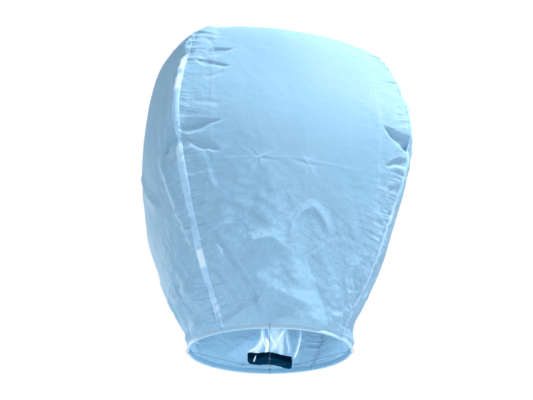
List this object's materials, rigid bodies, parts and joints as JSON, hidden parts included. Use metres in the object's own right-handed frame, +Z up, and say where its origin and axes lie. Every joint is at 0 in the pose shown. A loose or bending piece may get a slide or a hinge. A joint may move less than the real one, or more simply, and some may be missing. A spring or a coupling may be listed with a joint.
{
  "type": "sky lantern",
  "caption": "Inflated paper sky lantern with pointed gores on a bamboo hoop and a fuel cell hung in its mouth on steel wires.",
  "frame": {"origin": "centre of the bamboo hoop, halfway up the strip", "axes": "+Z up through the crown, -Y out of the front gore, +X out of the right gore"},
  "size_m": [0.6462, 0.6462, 0.8179],
  "materials": {
    "tissue_paper": "thin, matt, creased",
    "seam_paper": "glossy where glued",
    "bamboo": "planed strip",
    "thread": "matt",
    "steel_wire": "dull",
    "charred_paper": "charred"
  },
  "bodies": {
    "envelope": {"gore_right": "tissue_paper", "gore_back": "tissue_paper", "gore_left": "tissue_paper", "gore_front": "tissue_paper", "seam_strip_back_right": "seam_paper", "seam_strip_back_left": "seam_paper", "seam_strip_front_left": "seam_paper", "seam_strip_front_right": "seam_paper", "crown_patch": "seam_paper", "bamboo_hoop": "bamboo", "thread_bindings": "thread"},
    "cell": {"cradle_wire_long": "steel_wire", "cradle_wire_short": "steel_wire", "cell_tie": "steel_wire", "fuel_sheet_1": "charred_paper", "fuel_sheet_2": "charred_paper", "fuel_sheet_3": "charred_paper", "fuel_sheet_4": "charred_paper", "fuel_sheet_5": "charred_paper"},
    "leg_right": {"wire_leg_right": "steel_wire"},
    "leg_back": {"wire_leg_back": "steel_wire"},
    "leg_left": {"wire_leg_left": "steel_wire"},
    "leg_front": {"wire_leg_front": "steel_wire"}
  },
  "joints": [
    {"name": "cell_lift", "type": "slide", "parent": "envelope", "child": "cell", "axis": [0, 0, 1], "range_m": [0, 0.02]},
    {"name": "leg_right_hinge", "type": "hinge", "parent": "envelope", "child": "leg_right", "pos_m": [0.18585, -0.0395, 0], "axis": [0.2079, 0.9781, 0], "range_deg": [0, 9.05]},
    {"name": "leg_back_hinge", "type": "hinge", "parent": "envelope", "child": "leg_back", "pos_m": [0.0395, 0.18585, 0], "axis": [-0.9781, 0.2079, 0], "range_deg": [0, 7.84]},
    {"name": "leg_left_hinge", "type": "hinge", "parent": "envelope", "child": "leg_left", "pos_m": [-0.18585, 0.0395, 0], "axis": [-0.2079, -0.9781, 0], "range_deg": [0, 9.05]},
    {"name": "leg_front_hinge", "type": "hinge", "parent": "envelope", "child": "leg_front", "pos_m": [-0.0395, -0.18585, 0], "axis": [0.9781, -0.2079, 0], "range_deg": [0, 7.84]}
  ],
  "couplings": [
    {"joint": "leg_right_hinge", "follows": "cell_lift", "rad_per_m": 7.8498},
    {"joint": "leg_back_hinge", "follows": "cell_lift", "rad_per_m": 6.797},
    {"joint": "leg_left_hinge", "follows": "cell_lift", "rad_per_m": 7.8498},
    {"joint": "leg_front_hinge", "follows": "cell_lift", "rad_per_m": 6.797}
  ]
}
